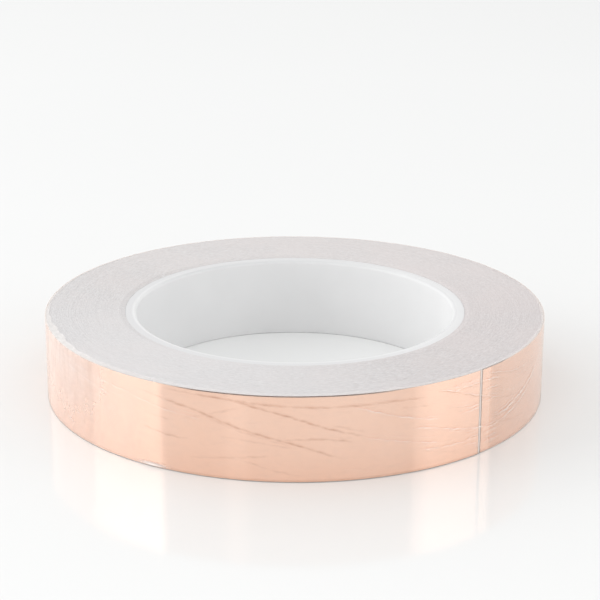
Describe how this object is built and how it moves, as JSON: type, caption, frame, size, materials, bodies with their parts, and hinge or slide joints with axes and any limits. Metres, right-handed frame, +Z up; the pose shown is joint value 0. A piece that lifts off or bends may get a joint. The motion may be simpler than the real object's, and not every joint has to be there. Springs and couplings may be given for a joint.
{
  "type": "copper foil tape roll",
  "caption": "Roll of adhesive copper foil tape wound on a white plastic core in clear packing film, with a free end whose film, foil and liner peel back.",
  "frame": {"origin": "on the roll's axis, level with the bottom of the core that it stands on", "axes": "+Z up along the roll's axis; -Y towards the side where the free end shows to the right; the tape is wound anticlockwise seen from above"},
  "size_m": [0.12, 0.12, 0.0204],
  "materials": {
    "core_plastic": "satin",
    "bond_tape": "matte",
    "tape_edge": "matte",
    "liner_paper": "matte",
    "adhesive": "gloss",
    "copper_foil": "polished",
    "clear_film": "gloss"
  },
  "bodies": {
    "roll": {"core": "core_plastic", "core_bond_strip": "bond_tape", "wound_tape": "tape_edge", "outer_turn_liner": "liner_paper", "outer_turn_adhesive": "adhesive", "outer_turn_foil": "copper_foil", "overwrap_film": "clear_film"},
    "liner_end": {"tape_end_liner": "liner_paper"},
    "foil_end": {"tape_end_foil": "copper_foil", "tape_end_adhesive": "adhesive"},
    "film_end": {"overwrap_film_end": "clear_film"}
  },
  "joints": [
    {"name": "tape_end_lift", "type": "hinge", "parent": "roll", "child": "liner_end", "pos_m": [0.02228, -0.05571, 0.01025], "axis": [0, 0, -1], "range_deg": [0, 70]},
    {"name": "foil_peel", "type": "hinge", "parent": "liner_end", "child": "foil_end", "pos_m": [0.02228, -0.05571, 0.01025], "axis": [0, 0, -1], "range_deg": [0, 60]},
    {"name": "film_peel", "type": "hinge", "parent": "foil_end", "child": "film_end", "pos_m": [0.02228, -0.05571, 0.01025], "axis": [0, 0, -1], "range_deg": [0, 50]}
  ]
}
